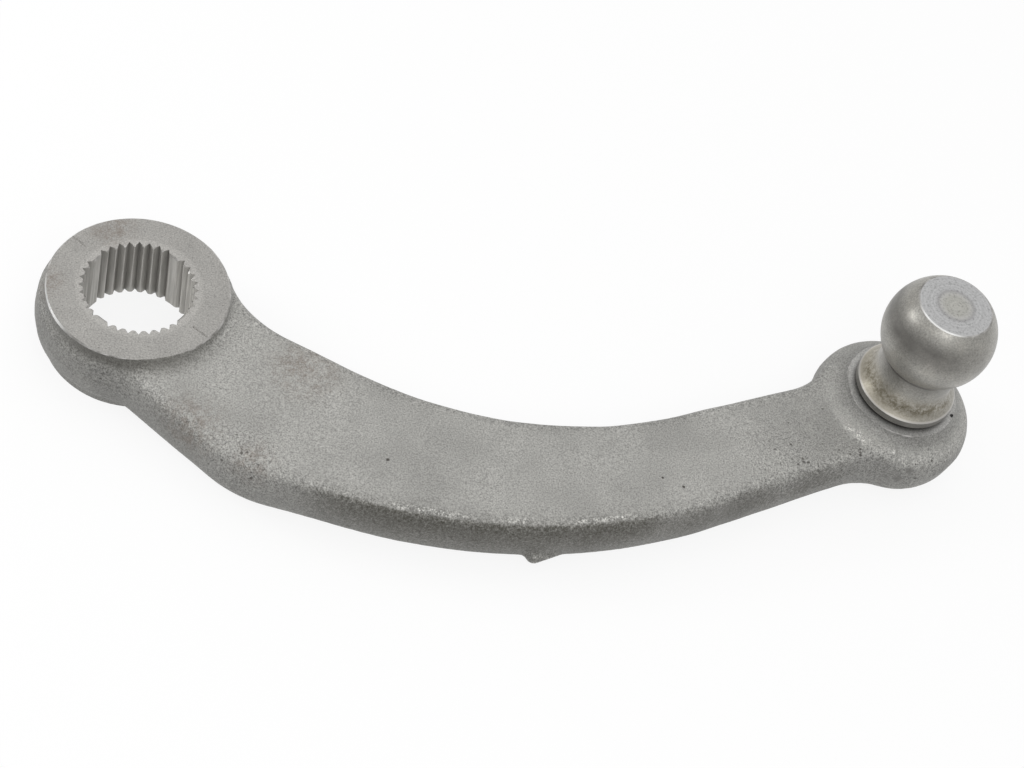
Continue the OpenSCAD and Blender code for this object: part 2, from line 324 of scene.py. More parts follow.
def spots(tree, place, marks, soft):
    """Mask that is 1 inside each round mark, fading out over the share soft of its radius."""
    mask = 0.0
    for centre, reach in marks:
        middle = Vector(centre) * MM
        away = add(tree, "ShaderNodeVectorMath", {0: place, 1: middle}, "Value", operation="DISTANCE")
        inner = reach * MM * (1 - soft)
        within = add(
            tree,
            "ShaderNodeMapRange",
            ranged(away, inner, reach * MM, 1.0, 0.0),
            interpolation_type="SMOOTHSTEP",
        )
        mask = add(tree, "ShaderNodeMath", {0: mask, 1: within}, operation="MAXIMUM")
    return mask


def banded(tree, value, start, full, full_end, end):
    """Mask that rises from 0 at start to 1 at full, and falls from 1 at full_end to 0 at end."""
    rising = add(tree, "ShaderNodeMapRange", ranged(value, start, full, 0.0, 1.0))
    falling = add(tree, "ShaderNodeMapRange", ranged(value, full_end, end, 1.0, 0.0))
    return add(tree, "ShaderNodeMath", {0: rising, 1: falling}, operation="MULTIPLY")


def coated(tree, base, coats):
    """Colour of a base under coats, each a mask of how thick it lies and an sRGB hex value."""
    for thickness, code in coats:
        base = add(
            tree,
            "ShaderNodeMix",
            {SHARE: thickness, COLOUR_A: base, COLOUR_B: linear(code)},
            MIXED,
            data_type="RGBA",
        )
    return base


def rust_over(tree, place, colour, most):
    """Brown bloom of rust over a colour, in flecks round each rust spot."""
    flecks = add(
        tree,
        "ShaderNodeTexNoise",
        {"Vector": place, "Scale": 1 / RUST_FLECKS, "Detail": 4.0, "Roughness": 0.75},
    )
    flecks = add(tree, "ShaderNodeMapRange", ranged(flecks, 0.4, 0.7, 0.0, most))
    bloom = spots(tree, place, RUST_SPOTS, 0.9)
    rust = add(tree, "ShaderNodeMath", {0: flecks, 1: bloom}, operation="MULTIPLY")
    return coated(tree, colour, [(rust, "#74665a")])


def forged_steel():
    """Drop-forged steel, shot-blasted and left bare.

    The shot leaves a matt grey with a fine grain, coarser near the edges, and painted glints lie on the
    ridges.
    Painted shade darkens the edges and the steep sides and lies as a dark brown coat on the outer side of
    the bend, and a brown bloom of rust and dark pits lie in patches.
    """
    material = new_material("forged_steel_shot_blasted")
    tree = material.node_tree
    place = add(tree, "ShaderNodeTexCoord", out="Object")
    depth = add(tree, "ShaderNodeSeparateXYZ", {0: place}, "Y")
    height = add(tree, "ShaderNodeSeparateXYZ", {0: place}, "Z")
    flat = add(tree, "ShaderNodeVectorMath", {0: place, 1: (1, 1, 0)}, operation="MULTIPLY")
    from_hub = add(tree, "ShaderNodeVectorMath", {0: flat}, "Value", operation="LENGTH")
    from_eye = add(tree, "ShaderNodeVectorMath", {0: flat, 1: EYE_CENTRE}, "Value", operation="DISTANCE")
    edge = add(tree, "ShaderNodeAttribute", out="Fac", attribute_name="edge")
    ridge = add(tree, "ShaderNodeAttribute", out="Fac", attribute_name="ridge")
    normal = add(tree, "ShaderNodeNewGeometry", out="Normal")
    upright = add(tree, "ShaderNodeSeparateXYZ", {0: normal}, "Z")
    level = add(tree, "ShaderNodeMath", {0: upright}, operation="ABSOLUTE")

    # Grain of the shot, the coarser scale, and slow clouds
    fine = add(tree, "ShaderNodeTexNoise", {"Vector": place, "Scale": 1 / SHOT_GRAIN, "Detail": 1.0})
    coarse = add(
        tree,
        "ShaderNodeTexNoise",
        {"Vector": place, "Scale": 1 / FORGED_SCALE, "Detail": 3.0, "Roughness": 0.8},
    )
    clouds = add(tree, "ShaderNodeTexNoise", {"Vector": place, "Scale": 1 / FORGED_CLOUDS, "Detail": 2.0})

    # Scale is left in patches, near the edges and in the pitted areas, less of it on the sides and the eye
    patches = add(tree, "ShaderNodeMapRange", ranged(clouds, 0.45, 0.7, 0.1, 0.5))
    edge_scale = add(tree, "ShaderNodeMapRange", ranged(edge, 0.05, 0.3, 0.0, 1.0))
    scaly = add(tree, "ShaderNodeMath", {0: patches, 1: edge_scale}, operation="MAXIMUM")
    swept = add(tree, "ShaderNodeMapRange", ranged(level, 0.2, 0.6, 0.5, 1.0))
    cleaned = add(tree, "ShaderNodeMapRange", ranged(from_eye, SPOT_R + 3 * MM, SPOT_R + 6 * MM, 0.35, 1.0))
    for left in (swept, cleaned):
        scaly = add(tree, "ShaderNodeMath", {0: scaly, 1: left}, operation="MULTIPLY")
    pitted = spots(tree, place, PITTED_AREAS, 0.8)
    more = {0: pitted, 1: 0.6, 2: scaly}
    scaly = add(tree, "ShaderNodeMath", more, operation="MULTIPLY_ADD", use_clamp=True)

    # Tone: grain and scale, slow clouds, painted shade near the edges and on the steep sides, a painted
    # highlight on the front of the eye's shoulder and painted shade in the eye's foot
    tone = add(tree, "ShaderNodeMapRange", ranged(fine, 0.3, 0.7, 0.77, 1.23))
    fleck = add(tree, "ShaderNodeMapRange", ranged(coarse, 0.25, 0.75, -0.5, 0.5))
    tone = add(tree, "ShaderNodeMath", {0: fleck, 1: scaly, 2: tone}, operation="MULTIPLY_ADD")
    cloud_tone = add(tree, "ShaderNodeMapRange", ranged(clouds, 0.36, 0.64, 0.91, 1.1))
    painted_edge_shade = add(tree, "ShaderNodeMapRange", ranged(edge, 0.03, 0.3, 1.0, 0.97))
    side = ranged(level, 0.2, 0.85, 0.83, 1.0)
    painted_side_shade = add(tree, "ShaderNodeMapRange", side, interpolation_type="SMOOTHSTEP")
    # Painted highlight on the front of the eye's shoulder
    wear_and_painted_highlight = banded(tree, from_eye, SPOT_R + 1 * MM, SPOT_R + 3.5 * MM, SPOT_R + 5 * MM, SPOT_R + 6.5 * MM)
    before = add(tree, "ShaderNodeMapRange", ranged(depth, -14 * MM, 6 * MM, 0.32, 0.0))
    painted_shoulder_light = add(tree, "ShaderNodeMath", {0: wear_and_painted_highlight, 1: before, 2: 1.0}, operation="MULTIPLY_ADD")
    # Painted shade in the eye's foot just outside the spot face
    foot = banded(tree, from_eye, SPOT_R - 1 * MM, SPOT_R, SPOT_R + 1 * MM, SPOT_R + 3 * MM)
    painted_foot_shade = add(tree, "ShaderNodeMapRange", ranged(foot, 0.0, 1.0, 1.0, 0.88))
    for factor in (cloud_tone, painted_edge_shade, painted_side_shade, painted_shoulder_light, painted_foot_shade):
        tone = add(tree, "ShaderNodeMath", {0: tone, 1: factor}, operation="MULTIPLY")

    # Painted glints on the peaks of the scale, along ridges, at the painted sparkles and on the rounding of
    # the glinting ridges
    rounding = banded(tree, level, 0.86, 0.94, 0.97, 0.992)
    painted_ridge_glint = spots(tree, place, PAINTED_GLINT_RIDGES, 0.7)
    painted_ridge_glint = add(tree, "ShaderNodeMath", {0: rounding, 1: painted_ridge_glint}, operation="MULTIPLY")
    painted_shine = ridge
    for mask in (spots(tree, place, PAINTED_SPARKLES, 0.6), painted_ridge_glint):
        painted_shine = add(tree, "ShaderNodeMath", {0: painted_shine, 1: mask}, operation="MAXIMUM")
    peak = add(tree, "ShaderNodeMapRange", ranged(coarse, 0.52, 0.66, 0.0, 1.0))
    painted_glint = add(tree, "ShaderNodeMath", {0: painted_shine, 1: peak}, operation="MULTIPLY")
    tone = add(tree, "ShaderNodeMath", {0: painted_glint, 1: 1.3, 2: tone}, operation="MULTIPLY_ADD")
    skin = add(tree, "ShaderNodeHueSaturation", {"Value": tone, "Color": linear("#a5a4a0")})
    skin = rust_over(tree, place, skin, 0.7)

    # Painted shade: a dark brown coat on the steep outer side of the bend, darkest just under the ridge, and
    # in the valley at the front of the hub's foot
    steep = add(tree, "ShaderNodeMapRange", ranged(level, 0.75, 0.97, 1.0, 0.0))
    creeping = add(tree, "ShaderNodeMapRange", ranged(edge, 0.03, 0.25, 0.0, 0.3))
    painted_shade = add(tree, "ShaderNodeMath", {0: steep, 1: creeping}, operation="MAXIMUM")
    painted_shade_spots = spots(tree, place, PAINTED_SHADE_PLACES, 0.7)
    thick = add(tree, "ShaderNodeMapRange", ranged(height, -7 * MM, 4 * MM, 0.15, 0.75))
    patchy = add(tree, "ShaderNodeMapRange", ranged(coarse, 0.35, 0.65, 1.2, 0.65))
    for mask in (painted_shade_spots, thick, patchy):
        painted_shade = add(tree, "ShaderNodeMath", {0: painted_shade, 1: mask}, operation="MULTIPLY")
    painted_valley_shade = add(tree, "ShaderNodeMapRange", ranged(from_hub, HUB_FACE_R, HUB_FACE_R + 4 * MM, 0.6, 0.0))
    ahead = add(tree, "ShaderNodeMapRange", ranged(depth, -22 * MM, -10 * MM, 1.0, 0.0))
    raised = add(tree, "ShaderNodeMapRange", ranged(height, 5 * MM, 8 * MM, 0.0, 1.0))
    for mask in (ahead, raised):
        painted_valley_shade = add(tree, "ShaderNodeMath", {0: painted_valley_shade, 1: mask}, operation="MULTIPLY")
    painted_shade = add(tree, "ShaderNodeMath", {0: painted_shade, 1: painted_valley_shade}, operation="MAXIMUM")

    # Pits: a scatter of small ones, more of them in the pitted areas, the few large ones, and dark smudges
    cell = {"Vector": place, "Scale": 1 / PIT_CELL}
    away = add(tree, "ShaderNodeTexVoronoi", cell, "Distance")
    drawn = add(tree, "ShaderNodeTexVoronoi", cell, "Color")
    chance = add(tree, "ShaderNodeSeparateColor", {0: drawn}, "Red")
    chance = add(tree, "ShaderNodeMath", {0: pitted, 1: 0.35, 2: chance}, operation="MULTIPLY_ADD")
    size = add(tree, "ShaderNodeMapRange", ranged(chance, 0.85, 1.25, 0.0, 0.32))
    within = add(tree, "ShaderNodeMath", {0: size, 1: away}, operation="SUBTRACT")
    scatter = add(tree, "ShaderNodeMapRange", ranged(within, 0.0, 0.12, 0.0, 0.75))
    large = spots(tree, place, PITS, 0.5)
    pits = add(tree, "ShaderNodeMath", {0: scatter, 1: large}, operation="MAXIMUM")
    smudge = add(tree, "ShaderNodeMapRange", ranged(coarse, 0.4, 0.6, 0.0, 0.7))
    smudged = spots(tree, place, SMUDGES, 0.8)
    smudge = add(tree, "ShaderNodeMath", {0: smudge, 1: smudged}, operation="MULTIPLY")
    dark = add(tree, "ShaderNodeMath", {0: pits, 1: smudge}, operation="MAXIMUM")
    skin = coated(tree, skin, [(painted_shade, "#4a483f"), (dark, "#4d4a45")])

    relief = add(tree, "ShaderNodeMath", {0: coarse, 1: scaly, 2: fine}, operation="MULTIPLY_ADD")
    relief = add(tree, "ShaderNodeMath", {0: relief, 1: pits}, operation="SUBTRACT")
    bump = add(tree, "ShaderNodeBump", {"Height": relief, "Strength": 0.8, "Distance": 0.14 * MM})
    gloss = add(tree, "ShaderNodeMapRange", ranged(painted_glint, 0.0, 1.0, 0.55, 0.3))
    surface = add(
        tree,
        "ShaderNodeBsdfPrincipled",
        {"Base Color": skin, "Metallic": 0.35, "Roughness": gloss, "Normal": bump},
    )
    add(tree, "ShaderNodeOutputMaterial", {"Surface": surface})
    return material


def faced_steel():
    """Steel faced flat and then blasted: the skin's grey, smoother, lighter where something rubbed it."""
    material = new_material("faced_steel_blasted")
    tree = material.node_tree
    place = add(tree, "ShaderNodeTexCoord", out="Object")
    flat = add(tree, "ShaderNodeVectorMath", {0: place, 1: (1, 1, 0)}, operation="MULTIPLY")
    from_hub = add(tree, "ShaderNodeVectorMath", {0: flat}, "Value", operation="LENGTH")
    from_eye = add(tree, "ShaderNodeVectorMath", {0: flat, 1: EYE_CENTRE}, "Value", operation="DISTANCE")
    fine = add(tree, "ShaderNodeTexNoise", {"Vector": place, "Scale": 1 / SHOT_GRAIN, "Detail": 1.0})
    coarse = add(
        tree,
        "ShaderNodeTexNoise",
        {"Vector": place, "Scale": 1 / FACED_SPECKS, "Detail": 3.0, "Roughness": 0.8},
    )
    clouds = add(tree, "ShaderNodeTexNoise", {"Vector": place, "Scale": 1 / FACED_CLOUDS, "Detail": 3.0})
    tone = add(tree, "ShaderNodeMapRange", ranged(fine, 0.3, 0.7, 0.78, 1.22))
    fleck = add(tree, "ShaderNodeMapRange", ranged(coarse, 0.25, 0.46, 0.6, 1.04))
    cloud_tone = add(tree, "ShaderNodeMapRange", ranged(clouds, 0.3, 0.7, 0.92, 1.06))
    for factor in (fleck, cloud_tone):
        tone = add(tree, "ShaderNodeMath", {0: tone, 1: factor}, operation="MULTIPLY")

    # The hub's face: a washer rubbed a wavy ring round the bore lighter
    wavy = add(tree, "ShaderNodeMath", {0: clouds, 1: 2 * MM, 2: from_hub}, operation="MULTIPLY_ADD")
    ring = ranged(wavy, 16.4 * MM, 17.6 * MM, 0.16, 0.0)
    wear_and_painted_highlight = add(tree, "ShaderNodeMapRange", ring, interpolation_type="SMOOTHSTEP")
    tone = add(tree, "ShaderNodeMath", {0: tone, 1: wear_and_painted_highlight}, operation="ADD")
    face = add(tree, "ShaderNodeHueSaturation", {"Value": tone, "Color": linear("#a4a29e")})
    face = rust_over(tree, place, face, 0.8)

    # The eye's spot face: smooth and light, with painted shade under the collar and a black nick at its edge
    on_eye = add(tree, "ShaderNodeMath", {0: from_hub, 1: BALL_CENTRE.x / 2}, operation="GREATER_THAN")
    share = add(tree, "ShaderNodeMapRange", ranged(from_eye, 0.0, 20 * MM, 0.0, 1.0))
    spot = add(
        tree,
        "ShaderNodeValToRGB",
        {"Fac": share},
        stops=((0.62, "#2b2a28"), (0.67, "#8d8c89"), (0.72, "#b2b1ae"), (0.85, "#b8b7b4")),
    )
    spot = add(tree, "ShaderNodeHueSaturation", {"Value": tone, "Color": spot})
    sides = {SHARE: on_eye, COLOUR_A: face, COLOUR_B: spot}
    face = add(tree, "ShaderNodeMix", sides, MIXED, data_type="RGBA")
    face = coated(tree, face, [(spots(tree, place, SPOT_NICK, 0.4), "#161514")])

    gloss = add(tree, "ShaderNodeMapRange", ranged(on_eye, 0.0, 1.0, 0.5, 0.4))
    bump = add(tree, "ShaderNodeBump", {"Height": fine, "Strength": 0.7, "Distance": 0.1 * MM})
    surface = add(
        tree,
        "ShaderNodeBsdfPrincipled",
        {"Base Color": face, "Metallic": 0.35, "Roughness": gloss, "Normal": bump},
    )
    add(tree, "ShaderNodeOutputMaterial", {"Surface": surface})
    return material


def broached_steel():
    """Broached steel: smooth and a little shiny, with streaks along the cut, painted shade in the roots and
    a painted highlight on the side towards the arm.
    """
    material = new_material("broached_steel")
    tree = material.node_tree
    place = add(tree, "ShaderNodeTexCoord", out="Object")
    along = add(tree, "ShaderNodeVectorMath", {0: place, 1: BROACH_STREAKS}, operation="DIVIDE")
    streaks = add(tree, "ShaderNodeTexNoise", {"Vector": along, "Scale": 1.0, "Detail": 2.0})
    wall = add(tree, "ShaderNodeValToRGB", {"Fac": streaks}, stops=((0.3, "#acaaa5"), (0.7, "#cbc9c4")))

    # Painted shade darkens the roots of the notches, which taper with the bore, and a painted highlight
    # lightens the side towards the arm
    flat = add(tree, "ShaderNodeVectorMath", {0: place, 1: (1, 1, 0)}, operation="MULTIPLY")
    radius = add(tree, "ShaderNodeVectorMath", {0: flat}, "Value", operation="LENGTH")
    height = add(tree, "ShaderNodeSeparateXYZ", {0: place}, "Z")
    untapered = add(tree, "ShaderNodeMath", {0: height, 1: TAPER, 2: radius}, operation="MULTIPLY_ADD")
    land_r = LAND_R + HUB_FACE_Z * TAPER
    root = add(tree, "ShaderNodeMapRange", ranged(untapered, land_r, land_r + NOTCH_DEPTH, 1.0, 0.65))
    armward = add(tree, "ShaderNodeSeparateXYZ", {0: place}, "X")
    wear_and_painted_highlight = add(tree, "ShaderNodeMapRange", ranged(armward, 5 * MM, LAND_R, 1.0, 1.35))
    tone = add(tree, "ShaderNodeMath", {0: root, 1: wear_and_painted_highlight}, operation="MULTIPLY")
    wall = add(tree, "ShaderNodeHueSaturation", {"Value": tone, "Color": wall})
    bump = add(tree, "ShaderNodeBump", {"Height": streaks, "Strength": 0.4, "Distance": 0.04 * MM})
    surface = add(
        tree,
        "ShaderNodeBsdfPrincipled",
        {"Base Color": wall, "Metallic": 0.4, "Roughness": 0.5, "Normal": bump},
    )
    add(tree, "ShaderNodeOutputMaterial", {"Surface": surface})
    return material


def burnished_steel():
    """Broken edge of a machined face: light and shiny, with painted near-white highlights at a few places.
    """
    material = new_material("burnished_steel_edge")
    tree = material.node_tree
    place = add(tree, "ShaderNodeTexCoord", out="Object")
    wear = add(tree, "ShaderNodeTexNoise", {"Vector": place, "Scale": 1 / EDGE_WEAR, "Detail": 3.0})
    dull = add(tree, "ShaderNodeValToRGB", {"Fac": wear}, stops=((0.4, "#9c9a96"), (0.62, "#cccac7")))
    wear_and_painted_highlight = spots(tree, place, PAINTED_HIGHLIGHT_EDGES, 0.6)
    rim = coated(tree, dull, [(wear_and_painted_highlight, "#fafaf8")])
    gloss = add(tree, "ShaderNodeMapRange", ranged(wear_and_painted_highlight, 0.0, 1.0, 0.38, 0.28))
    surface = add(
        tree,
        "ShaderNodeBsdfPrincipled",
        {"Base Color": rim, "Metallic": 0.8, "Roughness": gloss},
    )
    add(tree, "ShaderNodeOutputMaterial", {"Surface": surface})
    return material


def turned_steel():
    """Turned and ground steel: satin grey with faint rings, clouded by handling and browned at the flare."""
    material = new_material("turned_steel_satin")
    tree = material.node_tree
    place = add(tree, "ShaderNodeTexCoord", out="Object")
    here = add(tree, "ShaderNodeVectorMath", {0: place, 1: EYE_CENTRE}, operation="SUBTRACT")
    height = add(tree, "ShaderNodeSeparateXYZ", {0: here}, "Z")
    hubward = add(tree, "ShaderNodeSeparateXYZ", {0: here}, "X")
    clouds = add(
        tree,
        "ShaderNodeTexNoise",
        {"Vector": place, "Scale": 1 / STUD_CLOUDS, "Detail": 4.0, "Roughness": 0.6},
    )
    grain = add(tree, "ShaderNodeTexNoise", {"Vector": place, "Scale": 1 / STUD_GRAIN, "Detail": 2.0})
    around = add(tree, "ShaderNodeVectorMath", {0: here, 1: LATHE_MARKS}, operation="DIVIDE")
    rings = add(tree, "ShaderNodeTexNoise", {"Vector": around, "Scale": 1.0, "Detail": 1.0})
    steel = add(
        tree,
        "ShaderNodeValToRGB",
        {"Fac": clouds},
        stops=((0.3, "#9d9b96"), (0.5, "#a5a39d"), (0.7, "#b0ada6")),
    )
    tone = add(tree, "ShaderNodeMapRange", ranged(grain, 0.3, 0.7, 0.76, 1.24))
    steel = add(tree, "ShaderNodeHueSaturation", {"Value": tone, "Color": steel})

    # Painted shade: a painted dark reflection in a band round the ball, thicker towards the hub, painted
    # shade in the crease below the ball with a dark line in it and on the collar's side, and a painted
    # highlight on the side's upper edge
    equator = BALL_CENTRE.z
    crease = equator - math.sqrt(BALL_R**2 - NECK_R**2)
    side_top = COLLAR_TOP - COLLAR_CHAMFER
    painted_shade = banded(
        tree, height, equator - 0.5 * MM, equator + 3.5 * MM, equator + 5.8 * MM, equator + 9 * MM
    )
    thick = add(tree, "ShaderNodeMapRange", ranged(hubward, -3 * MM, 10 * MM, 0.85, 0.1))
    painted_shade = add(tree, "ShaderNodeMath", {0: painted_shade, 1: thick}, operation="MULTIPLY")
    creased = banded(tree, height, crease - 5 * MM, crease - 0.5 * MM, crease + 0.2 * MM, crease + 1.6 * MM)
    lined = banded(tree, height, crease - 0.7 * MM, crease - 0.2 * MM, crease + 0.1 * MM, crease + 0.5 * MM)
    side = banded(tree, height, COLLAR_Z - MM, COLLAR_Z, side_top - 0.1 * MM, side_top)
    for mask, most in ((creased, 0.75), (lined, 0.6), (side, 0.75)):
        painted_shade = add(tree, "ShaderNodeMath", {0: mask, 1: most, 2: painted_shade}, operation="MULTIPLY_ADD")
    cloudy = add(tree, "ShaderNodeMapRange", ranged(clouds, 0.3, 0.7, 1.1, 0.75))
    painted_shade = add(tree, "ShaderNodeMath", {0: painted_shade, 1: cloudy}, operation="MULTIPLY", use_clamp=True)
    # Painted highlight along the upper edge of the collar's side
    wear_and_painted_highlight = banded(tree, height, side_top, side_top + 0.05 * MM, COLLAR_TOP, COLLAR_TOP + 0.1 * MM)

    # Heat tint on the flare, strongest towards the hub: a golden wash, with dark olive flecks in the hollow
    wash = add(
        tree, "ShaderNodeMapRange", ranged(height, COLLAR_TOP + 2 * MM, COLLAR_TOP + 7 * MM, 0.45, 0.0)
    )
    strongest = add(tree, "ShaderNodeMapRange", ranged(hubward, -NECK_R, NECK_R, 1.0, 0.35))
    on_flare = add(tree, "ShaderNodeMapRange", ranged(height, COLLAR_TOP - 0.4 * MM, COLLAR_TOP, 0.0, 1.0))
    for mask in (strongest, on_flare):
        wash = add(tree, "ShaderNodeMath", {0: wash, 1: mask}, operation="MULTIPLY")
    hollow = banded(
        tree,
        height,
        COLLAR_TOP + 0.2 * MM,
        COLLAR_TOP + 1.8 * MM,
        COLLAR_TOP + 2.8 * MM,
        COLLAR_TOP + 6 * MM,
    )
    flecks = add(
        tree,
        "ShaderNodeTexNoise",
        {"Vector": place, "Scale": 1 / TINT_FLECKS, "Detail": 5.0, "Roughness": 0.8},
    )
    flecks = add(tree, "ShaderNodeMapRange", ranged(flecks, 0.42, 0.58, 0.0, 0.75))
    burnt = add(tree, "ShaderNodeMath", {0: hollow, 1: flecks}, operation="MULTIPLY")
    coats = [(painted_shade, "#666460"), (wear_and_painted_highlight, "#c6c4c0"), (wash, "#b8ae97"), (burnt, "#5c5339")]
    steel = coated(tree, steel, coats)

    relief = add(tree, "ShaderNodeMath", {0: grain, 1: 0.6, 2: rings}, operation="MULTIPLY_ADD")
    bump = add(tree, "ShaderNodeBump", {"Height": relief, "Strength": 0.3, "Distance": 0.03 * MM})
    gloss = add(tree, "ShaderNodeMapRange", ranged(clouds, 0.3, 0.7, 0.42, 0.32))
    surface = add(
        tree,
        "ShaderNodeBsdfPrincipled",
        {"Base Color": steel, "Metallic": 0.4, "Roughness": gloss, "Normal": bump},
    )
    add(tree, "ShaderNodeOutputMaterial", {"Surface": surface})
    return material


def faced_ball_flat():
    """The ball's flat, faced on the lathe: rings round a yellowish centre, and dark flecks of handling."""
    material = new_material("turned_steel_faced")
    tree = material.node_tree
    place = add(tree, "ShaderNodeTexCoord", out="Object")
    here = add(tree, "ShaderNodeVectorMath", {0: place, 1: EYE_CENTRE}, operation="SUBTRACT")
    flat = add(tree, "ShaderNodeVectorMath", {0: here, 1: (1, 1, 0)}, operation="MULTIPLY")
    radius = add(tree, "ShaderNodeVectorMath", {0: flat}, "Value", operation="LENGTH")
    grain = add(
        tree,
        "ShaderNodeTexNoise",
        {"Vector": place, "Scale": 1 / FLAT_GRAIN, "Detail": 3.0, "Roughness": 0.7},
    )
    wavy = add(tree, "ShaderNodeMath", {0: grain, 1: 0.4 * MM, 2: radius}, operation="MULTIPLY_ADD")
    rings = {"W": wavy, "Scale": 1 / FLAT_RINGS, "Detail": 2.0}
    marks = add(tree, "ShaderNodeTexNoise", rings, noise_dimensions="1D")
    share = add(tree, "ShaderNodeMapRange", ranged(radius, 0.0, 10 * MM, 0.0, 1.0))
    face = add(
        tree,
        "ShaderNodeValToRGB",
        {"Fac": share},
        stops=((0.3, "#b5b4ae"), (0.42, "#b6b5b2"), (0.5, "#aaa9a9"), (0.56, "#b8b8b8"), (0.95, "#bcbcbc")),
    )
    tone = add(tree, "ShaderNodeMapRange", ranged(marks, 0.3, 0.7, 0.9, 1.1))
    fleck = add(tree, "ShaderNodeMapRange", ranged(grain, 0.3, 0.5, 0.62, 1.03))
    tone = add(tree, "ShaderNodeMath", {0: tone, 1: fleck}, operation="MULTIPLY")
    face = add(tree, "ShaderNodeHueSaturation", {"Value": tone, "Color": face})
    bump = add(tree, "ShaderNodeBump", {"Height": marks, "Strength": 0.4, "Distance": 0.05 * MM})
    surface = add(
        tree,
        "ShaderNodeBsdfPrincipled",
        {"Base Color": face, "Metallic": 0.6, "Roughness": 0.5, "Normal": bump},
    )
    add(tree, "ShaderNodeOutputMaterial", {"Surface": surface})
    return material


def broach(material):
    """Tapered broach: V-shaped teeth on every division but the blank ones."""
    period = DIVISIONS // BLANK_LANDS
    pitch = 2 * math.pi / DIVISIONS

    def outline(land_r, z):
        half = NOTCH_W / 2 / land_r
        tooth = ((-pitch / 2, land_r), (-half, land_r), (0, land_r + NOTCH_DEPTH), (half, land_r))
        points = []
        for i in range(DIVISIONS):
            middle = BLANK_ANGLE + i * pitch
            for turn, r in tooth:
                radius = land_r if i % period == 0 else r
                angle = middle + turn
                points.append(Vector((radius * math.cos(angle), radius * math.sin(angle), z)))
        return points

    top = HUB_FACE_Z + PAST
    low = outline(LAND_R + (HUB_FACE_Z + top) * TAPER, -top)
    high = outline(LAND_R - PAST * TAPER, top)
    tool = piece_from("broach", low + high, tube_faces(2, len(low)))
    tool.data.materials.append(material)
    return tool


def scriber(direction, inner, outer, material):
    """V-shaped point drawn along a radius of the hub's upper face."""
    turn = Matrix.Rotation(math.radians(direction), 3, "Z")
    top = HUB_FACE_Z + PAST
    half = SCRIBE_W / 2 * (1 + PAST / SCRIBE_DEPTH)
    section = [(0, HUB_FACE_Z - SCRIBE_DEPTH), (half, top), (-half, top)]
    vertices = [turn @ Vector((r, y, z)) for r in (inner, outer) for y, z in section]
    tool = piece_from("scriber", vertices, tube_faces(2, len(section)))
    tool.data.materials.append(material)
    return tool


def points_of(mesh):
    """Places of a mesh's points, one row each."""
    places = np.empty(3 * len(mesh.vertices))
    mesh.vertices.foreach_get("co", places)
    return places.reshape(-1, 3)


def normals_of(mesh):
    """Outward directions at a mesh's points, one row each."""
    outward = np.empty(3 * len(mesh.vertices))
    mesh.vertex_normals.foreach_get("vector", outward)
    return outward.reshape(-1, 3)


def neighbour_mean(mesh):
    """Function that gives each point the mean of a value over the points that it shares an edge with."""
    ends = np.empty(2 * len(mesh.edges), dtype=np.int64)
    mesh.edges.foreach_get("vertices", ends)
    a, b = ends.reshape(-1, 2).T
    count = len(mesh.vertices)
    neighbours = np.maximum(np.bincount(a, minlength=count) + np.bincount(b, minlength=count), 1)

    def mean(values):
        columns = values.reshape(count, -1).T
        sums = [np.bincount(a, column[b], count) + np.bincount(b, column[a], count) for column in columns]
        return (np.stack(sums) / neighbours).T.reshape(values.shape)

    return mean


def near(places, centre, reach):
    """Share from 1 at a centre to 0 at the given reach, easing in and out."""
    share = np.clip(1 - np.linalg.norm(places - np.array(centre), axis=1) / reach, 0, 1)
    return share**2 * (3 - 2 * share)


def blend_skin(mesh):
    """Blends the edges and feet of the blank, more where the die was worn and hardly at the lug."""
    mean = neighbour_mean(mesh)
    places = points_of(mesh)
    free = 1 - near(places, LUG_PLACE, LUG_REACH)
    upper = np.clip((places[:, 2] - WORN_LOW) / (WORN_FULL - WORN_LOW), 0, 1)
    zones = [(free, BLEND_PASSES)]
    zones += [(free * upper * near(places, centre, reach), passes) for centre, reach, passes in WORN_PLACES]
    for share, passes in zones:
        for _ in range(passes):
            places += share[:, None] / 2 * (mean(places) - places)
    mesh.vertices.foreach_set("co", places.ravel())
    mesh.update()


def mark_skin(mesh):
    """Presses the die's waves, the scale's dents and the shot's grain into a mesh, never out of it."""
    places = points_of(mesh)
    depth = np.zeros(len(places))
    for size, deepest in SKIN_MARKS:
        depth += [deepest * (noise.noise(place) - 1) / 2 for place in (places / size).tolist()]
    mesh.vertices.foreach_set("co", (places + normals_of(mesh) * depth[:, None]).ravel())
    mesh.update()


def map_skin(mesh):
    """Stores on each point how near a steep side it lies, and how strongly the skin bulges there."""
    mean = neighbour_mean(mesh)
    places = points_of(mesh)
    outward = normals_of(mesh)
    edge = 1 - np.abs(outward[:, 2])
    for _ in range(EDGE_PASSES):
        edge = (edge + mean(edge)) / 2
    bulge = np.einsum("ij,ij->i", places - mean(places), outward) / SKIN_CELL
    for _ in range(RIDGE_PASSES):
        bulge = (bulge + mean(bulge)) / 2
    ridge = np.clip((bulge - RIDGE_FROM) / (RIDGE_FULL - RIDGE_FROM), 0, 1)
    for name, values in (("edge", edge), ("ridge", ridge)):
        mesh.attributes.new(name, "FLOAT", "POINT").data.foreach_set("value", values.astype(np.float32))


